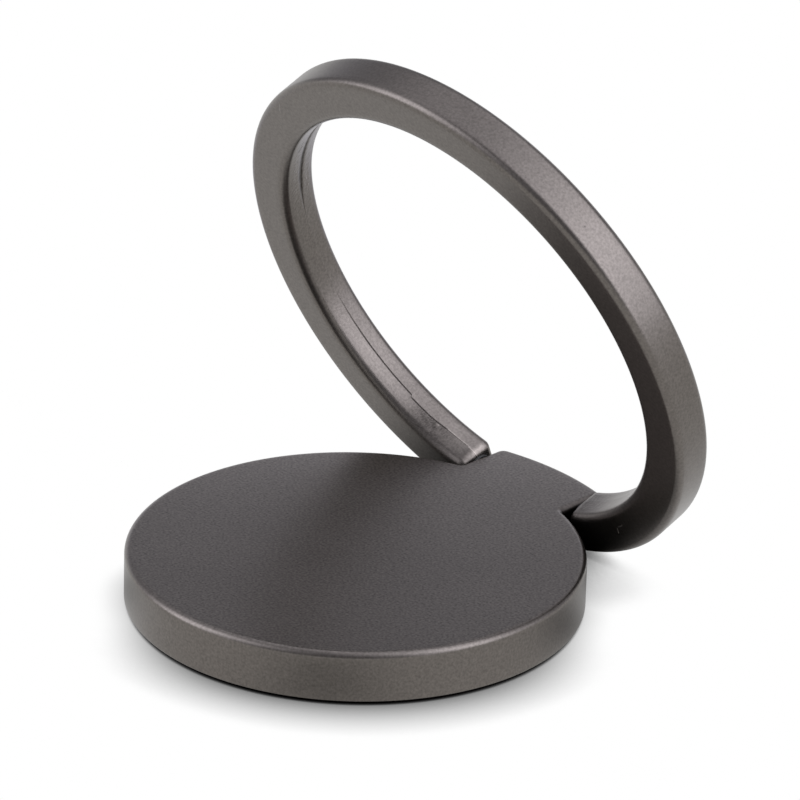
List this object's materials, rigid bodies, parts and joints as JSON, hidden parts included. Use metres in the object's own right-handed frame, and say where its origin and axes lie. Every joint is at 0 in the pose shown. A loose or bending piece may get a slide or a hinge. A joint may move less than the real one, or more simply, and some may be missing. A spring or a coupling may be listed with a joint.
{
  "type": "phone ring holder",
  "caption": "Round metal phone ring holder: a flat disc base with an adhesive back and a hinged finger ring that folds flat around it or swings up as a stand.",
  "frame": {"origin": "centre of the disc, on the face of the adhesive pad", "axes": "+Z points away from the phone, out of the disc's top; the hinge is at +Y, and its line runs along X"},
  "size_m": [0.0378, 0.0337, 0.0357],
  "materials": {
    "plated_base": "satin gunmetal plating on cast zinc",
    "plated_ring": "satin gunmetal plating on cast zinc",
    "pin_steel": "ground",
    "washer_nylon": "moulded",
    "pad_foam": "closed-cell foam, adhesive faced"
  },
  "bodies": {
    "base": {"base_plate": "plated_base", "hinge_pin": "pin_steel", "friction_washer_left": "washer_nylon", "friction_washer_right": "washer_nylon", "adhesive_pad": "pad_foam"},
    "ring": {"finger_ring": "plated_ring"}
  },
  "joints": [
    {"name": "ring_hinge", "type": "hinge", "parent": "base", "child": "ring", "pos_m": [0, 0.01625, 0.00255], "axis": [-1, 0, 0], "range_deg": [-68.7, 111.3]}
  ]
}
